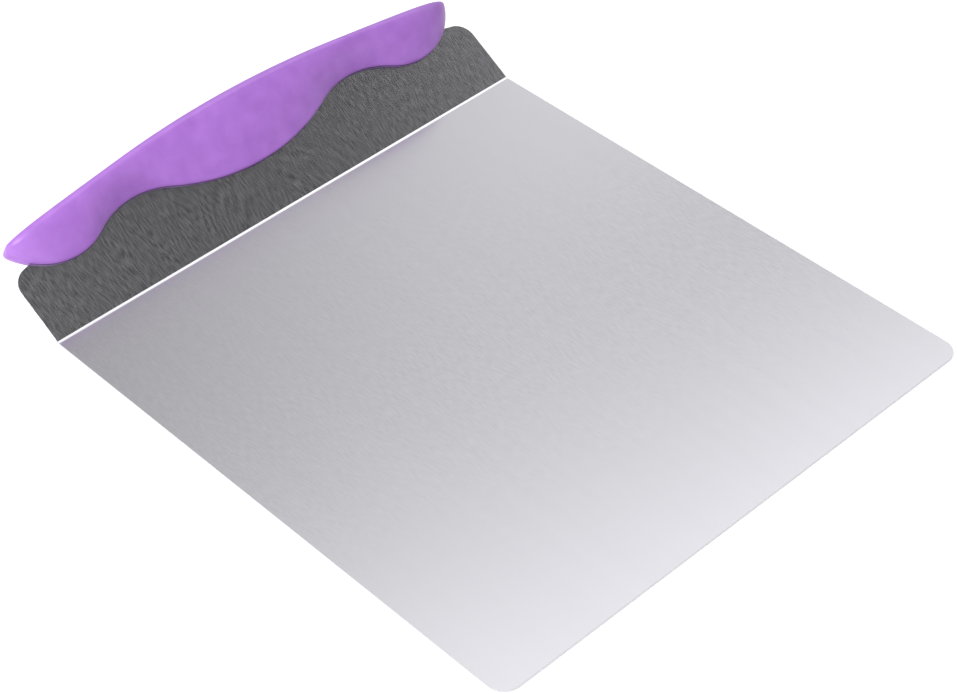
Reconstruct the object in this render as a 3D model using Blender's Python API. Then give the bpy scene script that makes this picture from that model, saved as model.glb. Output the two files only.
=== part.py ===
"""Cake lifter: a bent sheet of stainless steel with a two-part plastic handle screwed to its flange.

Units are metres. X runs across the plate, +Y from its front edge to the handle, and +Z up. The origin
is on the surface that the plate lies on, under the middle of the lifter's outer box.

Most shapes are drawn in the flange's own frame: x across, v up the flange from the bend, and n out of
the flange's front face. The sheet's front face is n = 0 and its back face is n = -SHEET.
"""

import math

import bmesh
import bpy
from mathutils import Vector

# The plate
PLATE_WIDTH = 0.254
BLADE_LENGTH = 0.263
SHEET = 0.0008
BEND_ANGLE = math.radians(31.0)
BEND_RADIUS = 0.0035
FRONT_CORNER = 0.008
FLANGE_CORNER = 0.0087
FLANGE_ARCH = 0.560

# The handle's outline, as tangent arcs, seen square to the flange
LOBE_BOTTOM = 0.0238
HANDLE_HEIGHT = 0.0327
TOP_RADIUS = 0.520
TOP_ARC_HALF = 0.060
LOBE_RADIUS = 0.0977
NOTCH_RADIUS = 0.0405
NOTCH_PLACE = 0.0605
END_LOBE_RADIUS = 0.0298
NOTCH_TO_END_LOBE = 0.0363
TIP_RADIUS = 0.0026

# Each half's depth, from the sheet's face out
GRIP_DEPTH = 0.0125
TIP_DEPTH = 0.0030
TIP_SQUARENESS = 12.0
LIP = 0.0015
SHOULDER = 0.0040
CROWN = 1.8

# The moulded halves
WALL = 0.0022
RIB = 0.0015
EDGE_COVER = 0.0094

# The screws
THREAD_RADIUS = 0.00145
THREAD_ROOT = 0.00105
THREAD_PITCH = 0.0011
SCREW_LENGTH = 0.0080
POINT_LENGTH = 0.0015
HEAD_RADIUS = 0.0028
HEAD_HEIGHT = 0.0020
RECESS_DEPTH = 0.0012
RECESS_REACH = 0.0015
RECESS_SLOT = 0.0006
INNER_SCREW_PLACE = 0.036
SCREW_EDGE_DISTANCE = 0.0045
SEAT_FLOOR = 0.0026
BOSS_WALL = 0.0015

# Clearances
GAP = 0.0003
CUT_MARGIN = 0.0020

# Fineness of the round stretches
CORNER_STEPS = 8
ARCH_STEPS = 24
BEND_STEPS = 6
STATIONS = 48
TIP_SHARE = 0.97
FACE_ROWS = 6
SHOULDER_ROWS = 6
CAVITY_STATIONS = 32
HOLE_SIDES = 24
SCREW_SIDES = 16

# What follows from them
HANDLE_TOP = LOBE_BOTTOM + HANDLE_HEIGHT
END_LOBE_PLACE = NOTCH_PLACE + NOTCH_TO_END_LOBE
TOP_CENTRE = HANDLE_TOP - TOP_RADIUS
FLANK_SLOPE = math.asin(TOP_ARC_HALF / TOP_RADIUS)
ARCH_CENTRE = HANDLE_TOP - EDGE_COVER - FLANGE_ARCH
HOLE_RADIUS = THREAD_RADIUS + GAP
BORE_RADIUS = HEAD_RADIUS + GAP
SEAT = -(SHEET + GAP + SEAT_FLOOR)
SCREW_TIP = SEAT - GAP + SCREW_LENGTH


def clear_scene():
    for thing in list(bpy.data.objects):
        bpy.data.objects.remove(thing, do_unlink=True)


def material(name, colour, roughness, metallic):
    made = bpy.data.materials.new(name)
    made.use_nodes = True
    shader = made.node_tree.nodes["Principled BSDF"]
    shader.inputs["Base Color"].default_value = (*colour, 1.0)
    shader.inputs["Roughness"].default_value = roughness
    shader.inputs["Metallic"].default_value = metallic
    return made


def empty(name, location, parent=None, tilt=0.0):
    thing = bpy.data.objects.new(name, None)
    bpy.context.scene.collection.objects.link(thing)
    thing.location = location
    thing.rotation_euler = (tilt, 0.0, 0.0)
    thing.parent = parent
    return thing


def add_object(name, bm, parent):
    """Turns a bmesh into an object in its parent's frame, with its faces pointing out."""
    bmesh.ops.remove_doubles(bm, verts=bm.verts, dist=1e-7)
    bmesh.ops.recalc_face_normals(bm, faces=bm.faces)
    mesh = bpy.data.meshes.new(name)
    bm.to_mesh(mesh)
    bm.free()
    thing = bpy.data.objects.new(name, mesh)
    bpy.context.scene.collection.objects.link(thing)
    thing.parent = parent
    return thing


def make_cutter(thing):
    thing.hide_render = True
    thing.display_type = "WIRE"
    return thing


def cut(thing, *cutters):
    for cutter in cutters:
        boolean = thing.modifiers.new(cutter.name, "BOOLEAN")
        boolean.operation = "DIFFERENCE"
        boolean.solver = "EXACT"
        boolean.object = cutter


def finish(thing, surface, sharp_angle=math.radians(40)):
    thing.data.materials.append(surface)
    thing.data.shade_smooth()
    thing.data.set_sharp_from_angle(angle=sharp_angle)
    return thing


def arc(centre, radius, start, end, steps):
    """Points on a circle from one angle to another, both ends included."""
    angles = [start + (end - start) * step / steps for step in range(steps + 1)]
    return [(centre[0] + radius * math.cos(a), centre[1] + radius * math.sin(a)) for a in angles]


def flange_outline(grow=0.0):
    """The flange's outline, from its right side over the arched top edge to its left side.

    The top edge stays inside the handle. grow widens the outline for the handle's pocket.
    """
    corner_x = PLATE_WIDTH / 2 - FLANGE_CORNER
    corner_v = ARCH_CENTRE + math.sqrt((FLANGE_ARCH - FLANGE_CORNER) ** 2 - corner_x**2)
    lean = math.atan2(corner_x, corner_v - ARCH_CENTRE)
    upright = math.pi / 2
    corner = FLANGE_CORNER + grow
    right = arc((corner_x, corner_v), corner, 0.0, upright - lean, CORNER_STEPS)
    top = arc((0.0, ARCH_CENTRE), FLANGE_ARCH + grow, upright - lean, upright + lean, ARCH_STEPS)
    left = arc((-corner_x, corner_v), corner, upright + lean, math.pi, CORNER_STEPS)
    return right + top[1:-1] + left


def blank_outline():
    """The flat blank that the plate is bent from. Its second coordinate is measured from the bend."""
    corner_x = PLATE_WIDTH / 2 - FRONT_CORNER
    corner_y = -BLADE_LENGTH + FRONT_CORNER
    left = arc((-corner_x, corner_y), FRONT_CORNER, math.pi, 1.5 * math.pi, CORNER_STEPS)
    right = arc((corner_x, corner_y), FRONT_CORNER, -0.5 * math.pi, 0.0, CORNER_STEPS)
    return left + right + flange_outline()


def bent(point):
    """Takes a point of the flat blank to its place on the bent plate.

    The point is (across, along, above), with above measured from the blank's upper face, which is the
    inside of the bend.
    """
    across, along, above = point
    setback = BEND_RADIUS * math.tan(BEND_ANGLE / 2)
    if along <= -setback:
        return Vector((across, along, above))
    sine, cosine = math.sin(BEND_ANGLE), math.cos(BEND_ANGLE)
    if along >= setback:
        return Vector((across, along * cosine - above * sine, along * sine + above * cosine))
    turn = BEND_ANGLE * (along + setback) / (2 * setback)
    radius = BEND_RADIUS - above
    return Vector((across, radius * math.sin(turn) - setback, BEND_RADIUS - radius * math.cos(turn)))


def plate_mesh():
    """The blank as a slab, divided across the bend and then bent."""
    bm = bmesh.new()
    bm.faces.new([bm.verts.new((x, along, 0.0)) for x, along in blank_outline()])
    setback = BEND_RADIUS * math.tan(BEND_ANGLE / 2)
    for step in range(BEND_STEPS + 1):
        line = setback * (2 * step / BEND_STEPS - 1)
        everything = bm.verts[:] + bm.edges[:] + bm.faces[:]
        bmesh.ops.bisect_plane(bm, geom=everything, plane_co=(0, line, 0), plane_no=(0, 1, 0))
    lower = bmesh.ops.extrude_face_region(bm, geom=bm.faces[:])["geom"]
    for item in lower:
        if isinstance(item, bmesh.types.BMVert):
            item.co.z = -SHEET
    for vert in bm.verts:
        vert.co = bent(vert.co)
    return bm


def flank_line(x, inset=0.0):
    """The straight flank that the top edge's arc runs out into, at x to the right of the middle."""
    start = (TOP_RADIUS - inset) * math.sin(FLANK_SLOPE)
    height = TOP_CENTRE + (TOP_RADIUS - inset) * math.cos(FLANK_SLOPE)
    return height - (x - start) * math.tan(FLANK_SLOPE)


def outline_circles(inset):
    """The circles that the handle's outline is made of, as (x, v, radius), moved inwards by inset.

    Each one touches the next. The tip's touches the end lobe's from inside and the flank from below.
    """
    lobe_v = LOBE_BOTTOM + LOBE_RADIUS
    notch_v = lobe_v - math.sqrt((LOBE_RADIUS + NOTCH_RADIUS) ** 2 - NOTCH_PLACE**2)
    end_v = notch_v + math.sqrt((NOTCH_RADIUS + END_LOBE_RADIUS) ** 2 - NOTCH_TO_END_LOBE**2)
    sine, cosine = math.sin(FLANK_SLOPE), math.cos(FLANK_SLOPE)
    below = (end_v - flank_line(END_LOBE_PLACE)) * cosine + TIP_RADIUS
    along = math.sqrt((END_LOBE_RADIUS - TIP_RADIUS) ** 2 - below**2)
    tip_x = END_LOBE_PLACE - below * sine + along * cosine
    tip_v = end_v - below * cosine - along * sine
    return {
        "lobe": (0.0, lobe_v, LOBE_RADIUS - inset),
        "notch": (NOTCH_PLACE, notch_v, NOTCH_RADIUS + inset),
        "end lobe": (END_LOBE_PLACE, end_v, END_LOBE_RADIUS - inset),
        "tip": (tip_x, tip_v, TIP_RADIUS - inset),
        "top": (0.0, TOP_CENTRE, TOP_RADIUS - inset),
    }


def on_circle(circle, x, side):
    """The height of a circle at x: its upper half for side +1, its lower half for side -1."""
    centre_x, centre_v, radius = circle
    return centre_v + side * math.sqrt(max(radius**2 - (x - centre_x) ** 2, 0.0))


def handle_half():
    """Half of the handle's length, to the furthest point of a tip."""
    tip_x, _, tip_radius = outline_circles(0.0)["tip"]
    return tip_x + tip_radius


def lower_edge(x, inset=0.0):
    """The wavy lower edge's height above the bend, the same on both sides of the middle."""
    x = abs(x)
    circles = outline_circles(inset)
    lobe, notch, end_lobe, tip = (circles[name] for name in ("lobe", "notch", "end lobe", "tip"))
    if x <= NOTCH_PLACE * lobe[2] / (lobe[2] + notch[2]):
        return on_circle(lobe, x, -1)
    if x <= NOTCH_PLACE + NOTCH_TO_END_LOBE * notch[2] / (notch[2] + end_lobe[2]):
        return on_circle(notch, x, 1)
    if x <= end_lobe[0] + (tip[0] - end_lobe[0]) * end_lobe[2] / (end_lobe[2] - tip[2]):
        return on_circle(end_lobe, x, -1)
    return on_circle(tip, x, -1)


def upper_edge(x, inset=0.0):
    """The top edge's height above the bend: an arc, a straight flank and a rounded end."""
    x = abs(x)
    circles = outline_circles(inset)
    if x <= circles["top"][2] * math.sin(FLANK_SLOPE):
        return on_circle(circles["top"], x, 1)
    if x <= circles["tip"][0] + circles["tip"][2] * math.sin(FLANK_SLOPE):
        return flank_line(x, inset)
    return on_circle(circles["tip"], x, 1)


def depth(x):
    """How far a half stands out at x, seen from above: nearly even, and rounded off at the tips."""
    share = min(abs(x) / handle_half(), 1.0)
    return TIP_DEPTH + (GRIP_DEPTH - TIP_DEPTH) * math.sqrt(1 - share**TIP_SQUARENESS)


def edge_distance(x, v):
    """The distance from the handle's top edge and rounded ends, inwards.

    Beyond the tip's middle it is stretched sideways, so that the shoulder fits the tip's smaller circle.
    """
    x = abs(x)
    tip_x, tip_v, tip_radius = outline_circles(0.0)["tip"]
    from_top = (flank_line(x) - v) * math.cos(FLANK_SLOPE)
    if math.atan2(x, v - TOP_CENTRE) < FLANK_SLOPE:
        from_top = TOP_RADIUS - math.hypot(x, v - TOP_CENTRE)
    if x > tip_x:
        away = math.hypot(x - tip_x, max(v - tip_v, 0.0))
        stretch = 1 + (SHOULDER / tip_radius - 1) * ((x - tip_x) / away) ** 2
        from_top = min(from_top, (tip_radius - away) * stretch)
    return max(from_top, 0.0)


def face_height(x, v):
    """How far the handle's face stands out from the sheet: crowned, with a rounded top shoulder."""
    low, high = lower_edge(x), upper_edge(x)
    rise = depth(x) - LIP
    share = min(max((v - low) / (high - low), 0.0), 1.0)
    crown = 1 - (1 - share) ** CROWN
    shoulder = min(SHOULDER, rise)
    into = max(shoulder - edge_distance(x, v), 0.0)
    drop = shoulder - math.sqrt(shoulder**2 - into**2)
    return LIP + crown * (rise - drop)


def section_heights(x, inset, rows):
    """Heights up the flange where a section of the handle at x has its points, lower edge first."""
    low, high = lower_edge(x, inset), upper_edge(x, inset)
    shoulder = min(SHOULDER, (high - low) / 2)
    face = [low + (high - shoulder - low) * row / rows for row in range(rows)]
    turns = [math.pi / 2 * row / SHOULDER_ROWS for row in range(SHOULDER_ROWS + 1)]
    return face + [high - shoulder * (1 - math.sin(turn)) for turn in turns]


def handle_dome(name, parent, side, floor, wall=0.0, stations=STATIONS):
    """A closed dome over the handle's outline: a half's outer form or, set in by a wall, its hollow.

    side is +1 for the front half and -1 for the back half. floor is the height of the flat face, and
    the dome's own height is measured from the sheet's face on that side. The sections go TIP_SHARE of
    the way round the tips, and a small flat face closes each end.
    """
    face = 0.0 if side > 0 else -SHEET
    half = handle_half() - wall
    bm = bmesh.new()
    sections = []
    for station in range(stations + 1):
        x = half * math.sin(math.pi / 2 * TIP_SHARE * (2 * station / stations - 1))
        heights = section_heights(x, wall, FACE_ROWS)
        base = [(heights[0], floor)]
        skin = [(v, face_height(x, v) - wall) for v in heights]
        points = base + skin + [(heights[-1], floor)]
        sections.append([bm.verts.new((x, v, face + side * n)) for v, n in points])
    for first, second in zip(sections, sections[1:]):
        for row in range(len(first)):
            after = (row + 1) % len(first)
            bm.faces.new((first[row], first[after], second[after], second[row]))
    bm.faces.new(sections[0])
    bm.faces.new(sections[-1])
    return add_object(name, bm, parent)


def screw_places():
    """Where the screws go through the flange: on an arc that follows its top edge."""
    radius = FLANGE_ARCH - SCREW_EDGE_DISTANCE
    across = (-END_LOBE_PLACE, -INNER_SCREW_PLACE, 0.0, INNER_SCREW_PLACE, END_LOBE_PLACE)
    return [(x, ARCH_CENTRE + math.sqrt(radius**2 - x**2)) for x in across]


def add_cylinder(bm, place, radius, low, high):
    """A round prism whose corners lie off the handle's middle line, where its sections have theirs."""
    start = math.pi / HOLE_SIDES
    ring = arc(place, radius, start, start + 2 * math.pi, HOLE_SIDES)[:-1]
    face = bm.faces.new([bm.verts.new((x, v, low)) for x, v in ring])
    top = bmesh.ops.extrude_face_region(bm, geom=[face])["geom"]
    for item in top:
        if isinstance(item, bmesh.types.BMVert):
            item.co.z = high


def screw_holes(name, parent, radius, low, high):
    """A cutter with one cylinder for each screw, from n = low to n = high."""
    bm = bmesh.new()
    for place in screw_places():
        add_cylinder(bm, place, radius, low, high)
    return make_cutter(add_object(name, bm, parent))


def stiffeners(name, parent, boss_radius):
    """What a half's hollow goes round: a boss at each screw, and cross ribs at the notches and lobe."""
    bm = bmesh.new()
    reach = GRIP_DEPTH + CUT_MARGIN
    for place in screw_places():
        add_cylinder(bm, place, boss_radius, -reach, reach)
    for x in (-NOTCH_PLACE, -INNER_SCREW_PLACE / 2, INNER_SCREW_PLACE / 2, NOTCH_PLACE):
        made = bmesh.ops.create_cube(bm, size=1.0)["verts"]
        bmesh.ops.scale(bm, vec=(RIB, 2 * HANDLE_HEIGHT, 2 * reach), verts=made)
        bmesh.ops.translate(bm, vec=(x, HANDLE_TOP - HANDLE_HEIGHT / 2, 0.0), verts=made)
    return make_cutter(add_object(name, bm, parent))


def sheet_pocket(parent):
    """A cutter for the step in the back half that takes the sheet, so that the halves meet above it."""
    bm = bmesh.new()
    side = PLATE_WIDTH / 2 + GAP
    points = [(-side, 0.0), (side, 0.0)] + flange_outline(GAP)
    face = bm.faces.new([bm.verts.new((x, v, -SHEET - GAP)) for x, v in points])
    top = bmesh.ops.extrude_face_region(bm, geom=[face])["geom"]
    for item in top:
        if isinstance(item, bmesh.types.BMVert):
            item.co.z = CUT_MARGIN
    return make_cutter(add_object("sheet_pocket", bm, parent))


def lifting_plate(frame, flange, surface):
    plate = add_object("lifting_plate", plate_mesh(), frame)
    cut(plate, screw_holes("plate_holes", flange, HOLE_RADIUS, -SHEET - CUT_MARGIN, CUT_MARGIN))
    return finish(plate, surface, math.radians(20))


def handle_front(flange, surface):
    shell = handle_dome("handle_front", flange, 1, GAP)
    hollow = make_cutter(handle_dome("front_hollow", flange, 1, -CUT_MARGIN, WALL, CAVITY_STATIONS))
    cut(hollow, stiffeners("front_stiffeners", flange, HOLE_RADIUS + BOSS_WALL))
    pilots = screw_holes("pilot_holes", flange, HOLE_RADIUS, -CUT_MARGIN, SCREW_TIP + GAP)
    cut(shell, pilots, hollow)
    return finish(shell, surface)


def handle_back(flange, surface):
    shell = handle_dome("handle_back", flange, -1, -SHEET)
    behind = -SHEET - CUT_MARGIN
    hollow = make_cutter(handle_dome("back_hollow", flange, -1, behind, WALL, CAVITY_STATIONS))
    cut(hollow, stiffeners("back_stiffeners", flange, BORE_RADIUS + BOSS_WALL))
    outside = -(SHEET + GRIP_DEPTH + CUT_MARGIN)
    shanks = screw_holes("shank_holes", flange, HOLE_RADIUS, SEAT - CUT_MARGIN, CUT_MARGIN)
    bores = screw_holes("head_bores", flange, BORE_RADIUS, outside, SEAT)
    cut(shell, sheet_pocket(flange), shanks, bores, hollow)
    return finish(shell, surface)


def screw_profile():
    """Half of a screw's section as (radius, height), from the head's top down to the point.

    The head stands on height 0. The thread is a row of ridges, one for each turn.
    """
    crown = arc((0.0, 0.0), 1.0, math.pi / 2, 0.0, 4)
    rise = HEAD_HEIGHT / 2
    head = [(HEAD_RADIUS * x, rise + rise * z) for x, z in crown] + [(HEAD_RADIUS, 0.0)]
    turns = int((SCREW_LENGTH - POINT_LENGTH) / THREAD_PITCH)
    thread = [(THREAD_ROOT, 0.0)]
    for turn in range(turns):
        thread.append((THREAD_ROOT, -THREAD_PITCH * (turn + 0.2)))
        thread.append((THREAD_RADIUS, -THREAD_PITCH * (turn + 0.5)))
    point = [(THREAD_ROOT, POINT_LENGTH - SCREW_LENGTH), (0.0, -SCREW_LENGTH)]
    return head + thread + point


def cross_recess(frame):
    """A cutter for the cross that the driver goes into, narrower at its bottom."""
    reach, slot = RECESS_REACH, RECESS_SLOT / 2
    quarter = [(reach, -slot), (reach, slot), (slot, slot)]
    points = []
    for turn in range(4):
        cosine, sine = round(math.cos(turn * math.pi / 2)), round(math.sin(turn * math.pi / 2))
        points += [(x * cosine - y * sine, x * sine + y * cosine) for x, y in quarter]
    bm = bmesh.new()
    face = bm.faces.new([bm.verts.new((x, y, HEAD_HEIGHT + CUT_MARGIN)) for x, y in points])
    low = bmesh.ops.extrude_face_region(bm, geom=[face])["geom"]
    verts = [item for item in low if isinstance(item, bmesh.types.BMVert)]
    for vert in verts:
        vert.co = (vert.co.x * 0.6, vert.co.y * 0.6, HEAD_HEIGHT - RECESS_DEPTH)
    return make_cutter(add_object("cross_recess", bm, frame))


def screw_mesh():
    """A screw's section, turned about its own axis."""
    bm = bmesh.new()
    points = [bm.verts.new((radius, 0.0, height)) for radius, height in screw_profile()]
    edges = [bm.edges.new(pair) for pair in zip(points, points[1:])]
    bmesh.ops.spin(
        bm,
        geom=points + edges,
        cent=(0, 0, 0),
        axis=(0, 0, 1),
        angle=2 * math.pi,
        steps=SCREW_SIDES,
        use_merge=True,
    )
    return bm


def handle_screws(flange, surface):
    """The screws, driven from behind: each head sits on the back half's seat."""
    shared = None
    for number, (x, v) in enumerate(screw_places(), start=1):
        name = f"handle_screw_{number}"
        if shared is None:
            screw = finish(add_object(name, screw_mesh(), flange), surface)
            shared = screw.data
        else:
            screw = bpy.data.objects.new(name, shared)
            bpy.context.scene.collection.objects.link(screw)
            screw.parent = flange
        screw.location = (x, v, SEAT - GAP)
        screw.rotation_euler = (math.pi, 0.0, 0.0)
        cut(screw, cross_recess(screw))


def rear_reach():
    """How far behind the bend the lifter reaches: to the back shoulder of the handle's top edge."""
    height = HANDLE_TOP - SHOULDER
    behind = SHEET + GRIP_DEPTH - SHOULDER
    return height * math.cos(BEND_ANGLE) + behind * math.sin(BEND_ANGLE) + SHOULDER


def main():
    clear_scene()
    steel = material("brushed stainless steel", (0.56, 0.55, 0.57), 0.30, 1.0)
    violet = material("violet moulded plastic", (0.43, 0.19, 0.68), 0.42, 0.0)
    zinc = material("zinc-plated steel", (0.60, 0.61, 0.64), 0.35, 1.0)
    bend_y = (BLADE_LENGTH - rear_reach()) / 2
    frame = empty("bend_frame", (0.0, bend_y, SHEET))
    flange = empty("flange_frame", (0.0, 0.0, 0.0), frame, BEND_ANGLE)
    lifting_plate(frame, flange, steel)
    handle_front(flange, violet)
    handle_back(flange, violet)
    handle_screws(flange, zinc)


main()
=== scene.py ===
# %% [markdown]
# # A cake lifter
#
# A cake lifter is a square sheet of stainless steel with one sharp bend. The flange behind the
# bend goes into a moulded plastic grip of two halves, and short screws hold the halves together
# from behind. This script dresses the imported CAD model: it makes each piece again with finer
# shapes, gives it a material, and sets up a plain studio. The first lines load the CAD model,
# which fixes every place.

# %% Load the CAD model
import math

import bmesh
import bpy
from mathutils import Matrix, Vector


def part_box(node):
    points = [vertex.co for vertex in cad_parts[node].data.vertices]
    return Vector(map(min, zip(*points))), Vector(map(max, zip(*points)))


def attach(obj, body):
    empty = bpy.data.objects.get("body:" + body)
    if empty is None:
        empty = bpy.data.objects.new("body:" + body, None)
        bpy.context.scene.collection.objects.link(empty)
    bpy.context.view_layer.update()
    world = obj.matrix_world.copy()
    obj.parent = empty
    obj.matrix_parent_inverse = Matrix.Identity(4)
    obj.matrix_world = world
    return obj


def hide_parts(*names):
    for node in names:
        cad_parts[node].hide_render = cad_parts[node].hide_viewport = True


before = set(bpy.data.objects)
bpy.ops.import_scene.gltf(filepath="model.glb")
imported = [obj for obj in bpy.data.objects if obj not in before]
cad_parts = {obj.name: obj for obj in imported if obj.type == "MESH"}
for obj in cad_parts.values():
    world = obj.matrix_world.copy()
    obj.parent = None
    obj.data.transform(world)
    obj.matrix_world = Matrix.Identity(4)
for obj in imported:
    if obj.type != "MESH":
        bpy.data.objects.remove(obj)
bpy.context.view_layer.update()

# %% [markdown]
# ## Sizes and the flange's own frame
#
# The lifter is easiest to describe in two frames. The blade lies flat, and the flange is the
# blade's plane turned up about the bend. So most points here are given as x across, v up the
# flange from the bend, and n out of the flange's front face. One matrix takes such a point to its
# place. The bend's place comes from the CAD plate: it is one blade length behind the front edge.

# %% Sizes in metres
PLATE_WIDTH = 0.254
BLADE_LENGTH = 0.263
SHEET = 0.0008
BEND_ANGLE = math.radians(31.0)
BEND_RADIUS = 0.0035
GAP = 0.0003

front_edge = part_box("lifting_plate")[0].y
bend_frame = Matrix.Translation((0.0, front_edge + BLADE_LENGTH, SHEET))
flange_frame = bend_frame @ Matrix.Rotation(BEND_ANGLE, 4, "X")
print(f"the bend is at y = {front_edge + BLADE_LENGTH:.4f}")

# %% [markdown]
# ## Small helpers
#
# A curve drawn as points, a mesh object from a bmesh, and one function that adds a node, sets it
# up and links it. Every tree below, for shapes and for materials, is written with that one
# function.


# %% Helpers
def arc(centre, radius, start, end, steps):
    """Points on a circle from one angle to another, both ends included."""
    angles = [start + (end - start) * step / steps for step in range(steps + 1)]
    return [(centre[0] + radius * math.cos(a), centre[1] + radius * math.sin(a)) for a in angles]


def mesh_object(name, bm):
    """Makes an object of a bmesh, with its doubles merged and its faces pointing out."""
    bmesh.ops.remove_doubles(bm, verts=bm.verts, dist=1e-7)
    bmesh.ops.recalc_face_normals(bm, faces=bm.faces)
    mesh = bpy.data.meshes.new(name)
    bm.to_mesh(mesh)
    bm.free()
    thing = bpy.data.objects.new(name, mesh)
    bpy.context.scene.collection.objects.link(thing)
    return thing


def raise_face(bm, points, low, high):
    """A prism over a flat outline, from one height to another."""
    face = bm.faces.new([bm.verts.new((x, y, low)) for x, y in points])
    for item in bmesh.ops.extrude_face_region(bm, geom=[face])["geom"]:
        if isinstance(item, bmesh.types.BMVert):
            item.co.z = high


def add(tree, kind, inputs=None, **settings):
    """Adds a node, sets its properties, and links each input or gives it a value."""
    node = tree.nodes.new(kind)
    for name, value in settings.items():
        setattr(node, name, value)
    for name, value in (inputs or {}).items():
        if isinstance(value, bpy.types.Node):
            value = value.outputs[0]
        if isinstance(value, bpy.types.NodeSocket):
            tree.links.new(value, node.inputs[name])
        else:
            node.inputs[name].default_value = value
    return node


def new_tree(name, **inputs):
    """A Geometry Nodes tree with a mesh going in and out, and one named input for each value."""
    tree = bpy.data.node_groups.new(name, "GeometryNodeTree")
    tree.interface.new_socket("Geometry", in_out="INPUT", socket_type="NodeSocketGeometry")
    tree.interface.new_socket("Geometry", in_out="OUTPUT", socket_type="NodeSocketGeometry")
    for label, kind in inputs.items():
        socket_type = "NodeSocket" + kind
        tree.interface.new_socket(label.replace("_", " "), in_out="INPUT", socket_type=socket_type)
    return tree, add(tree, "NodeGroupInput"), add(tree, "NodeGroupOutput")


def run_tree(thing, tree, **values):
    """Puts a tree on an object and sets its inputs, each by its socket's identifier."""
    modifier = thing.modifiers.new(tree.name, "NODES")
    modifier.node_group = tree
    sockets = {item.name: item for item in tree.interface.items_tree if item.in_out == "INPUT"}
    for label, value in values.items():
        modifier[sockets[label.replace("_", " ")].identifier] = value
    return modifier


def without_slivers(mesh):
    """Clears what a Boolean leaves behind: points that all but touch, and triangles of no area."""
    bm = bmesh.new()
    bm.from_mesh(mesh)
    bmesh.ops.triangulate(bm, faces=bm.faces)
    bmesh.ops.remove_doubles(bm, verts=bm.verts, dist=2e-6)
    bmesh.ops.dissolve_degenerate(bm, dist=1e-6, edges=bm.edges)
    bm.to_mesh(mesh)
    print(f"{mesh.name}: closed all round: {all(edge.is_manifold for edge in bm.edges)}")
    bm.free()


def plain_mesh(name, thing, sharp_degrees):
    """Turns the evaluated object into a plain mesh of its own and drops the object it came from."""
    bpy.context.view_layer.update()
    seen = thing.evaluated_get(bpy.context.evaluated_depsgraph_get())
    mesh = bpy.data.meshes.new_from_object(seen)
    mesh.name = name
    without_slivers(mesh)
    made = bpy.data.objects.new(name, mesh)
    bpy.context.scene.collection.objects.link(made)
    bpy.data.objects.remove(thing)
    mesh.shade_smooth()
    mesh.set_sharp_from_angle(angle=math.radians(sharp_degrees))
    print(f"{name}: {len(mesh.vertices)} points, {len(mesh.polygons)} faces")
    return made


# %% [markdown]
# ## Colours
#
# A maker's colour is easiest to read as an sRGB hex value, but Blender's nodes work with linear
# light. One function does the change.


# %% Hex to linear
def linear(hex_colour):
    parts = [int(hex_colour[at : at + 2], 16) / 255 for at in (1, 3, 5)]
    return [p / 12.92 if p <= 0.04045 else ((p + 0.055) / 1.055) ** 2.4 for p in parts] + [1.0]


print("middle grey #808080 is", [round(part, 3) for part in linear("#808080")])


# %% [markdown]
# ## Material: brushed stainless steel
#
# Cutlery steel of the 18/8 kind, rolled and then brushed along the sheet with a fine grit belt.
# Each scratch is a thin groove along the blade, so a reflection is smeared across the grain and
# stays fairly crisp along it. That is anisotropy. The scratches of a real belt are about 0.1 mm
# wide, too fine for the picture, so they are drawn 0.6 mm wide and 4 mm long, in two layers a few
# degrees apart, with broad faint bands under them. Where the sheet shows something dark, each
# scratch catches a little of the light beside it. That is why the flange looks grainier than the
# blade, and why the scratches change the roughness and the slope of the surface and hardly its
# colour. The pattern follows the flat sheet as it was before bending, which the mesh keeps as its
# own UV map.


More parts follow.
